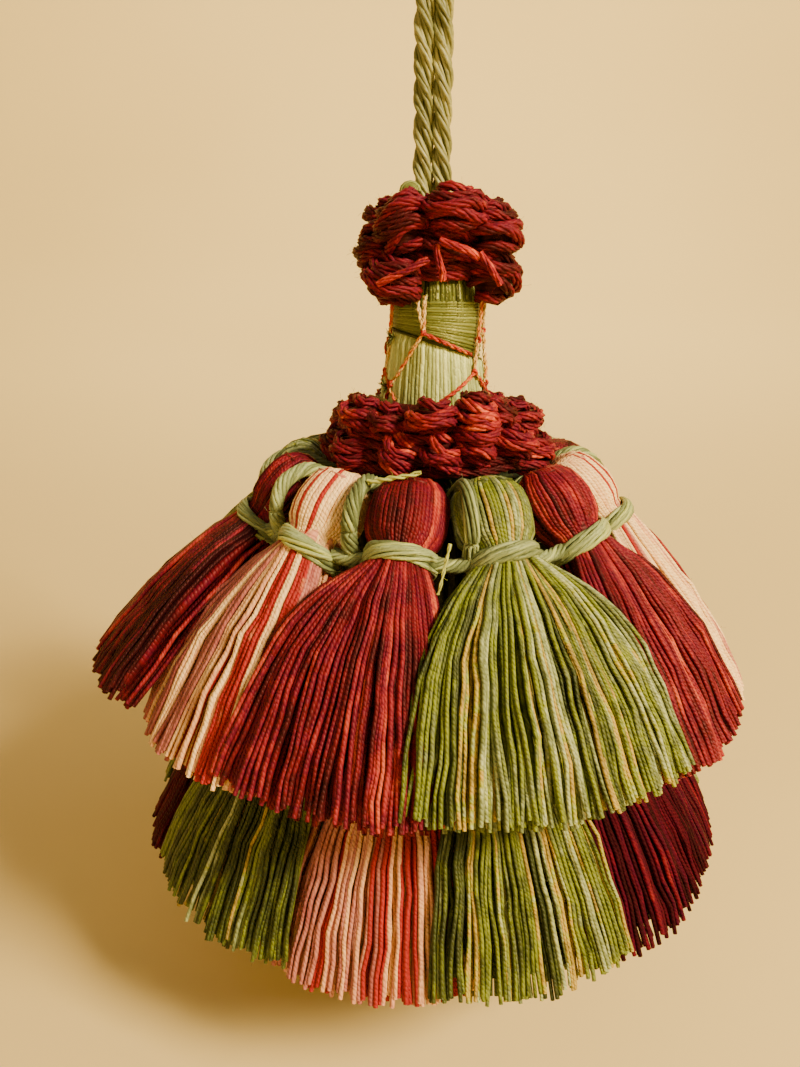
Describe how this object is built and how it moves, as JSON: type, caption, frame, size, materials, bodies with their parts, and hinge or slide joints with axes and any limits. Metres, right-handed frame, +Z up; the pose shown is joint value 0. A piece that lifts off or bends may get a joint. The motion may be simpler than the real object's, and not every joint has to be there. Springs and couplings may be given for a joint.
{
  "type": "hanging tassel",
  "caption": "Hand-made hanging tassel with a twisted cord loop, two wound ruffs, a netted thread-wound neck and two tiers of small red, green and cream cut tassels.",
  "frame": {"origin": "top of the hanging loop, where a hook or knob holds it", "axes": "+Z up along the cord and neck, -Y towards the front of the picture, +X to its right"},
  "size_m": [0.0931, 0.0895, 0.1423],
  "materials": {
    "sage_cord": "three-ply twisted cotton cord",
    "crimson_gimp": "wound soft yarn, slightly fuzzy",
    "sage_floss": "satin floss wound side by side",
    "net_thread": "thin variegated twisted thread",
    "tie_floss": "soft flat floss",
    "red_strands": "cut two-ply cotton, variegated crimson",
    "cream_strands": "cut two-ply cotton, cream with red strands",
    "green_strands": "cut two-ply cotton, variegated olive and gold"
  },
  "bodies": {
    "root": {"hanging_cord": "sage_cord", "upper_ruff": "crimson_gimp", "lower_ruff": "crimson_gimp", "neck_winding": "sage_floss", "neck_apron": "sage_floss", "neck_net": "net_thread", "upper_tie_ring": "tie_floss", "lower_tie_ring": "tie_floss", "upper_tassel_01": "red_strands", "upper_tassel_02": "cream_strands", "upper_tassel_03": "red_strands", "upper_tassel_04": "green_strands", "upper_tassel_05": "red_strands", "upper_tassel_06": "cream_strands", "upper_tassel_07": "red_strands", "upper_tassel_08": "green_strands", "upper_tassel_09": "red_strands", "upper_tassel_10": "cream_strands", "upper_tassel_11": "red_strands", "upper_tassel_12": "green_strands", "lower_tassel_01": "red_strands", "lower_tassel_02": "green_strands", "lower_tassel_03": "cream_strands", "lower_tassel_04": "green_strands", "lower_tassel_05": "red_strands", "lower_tassel_06": "red_strands", "lower_tassel_07": "green_strands", "lower_tassel_08": "cream_strands", "lower_tassel_09": "green_strands", "lower_tassel_10": "red_strands", "lower_tassel_11": "cream_strands", "lower_tassel_12": "green_strands", "hanger_01": "tie_floss", "hanger_02": "tie_floss", "hanger_03": "tie_floss", "hanger_04": "tie_floss", "hanger_05": "tie_floss", "hanger_06": "tie_floss", "hanger_07": "tie_floss", "hanger_08": "tie_floss", "hanger_09": "tie_floss", "hanger_10": "tie_floss", "hanger_11": "tie_floss", "hanger_12": "tie_floss"}
  },
  "joints": []
}
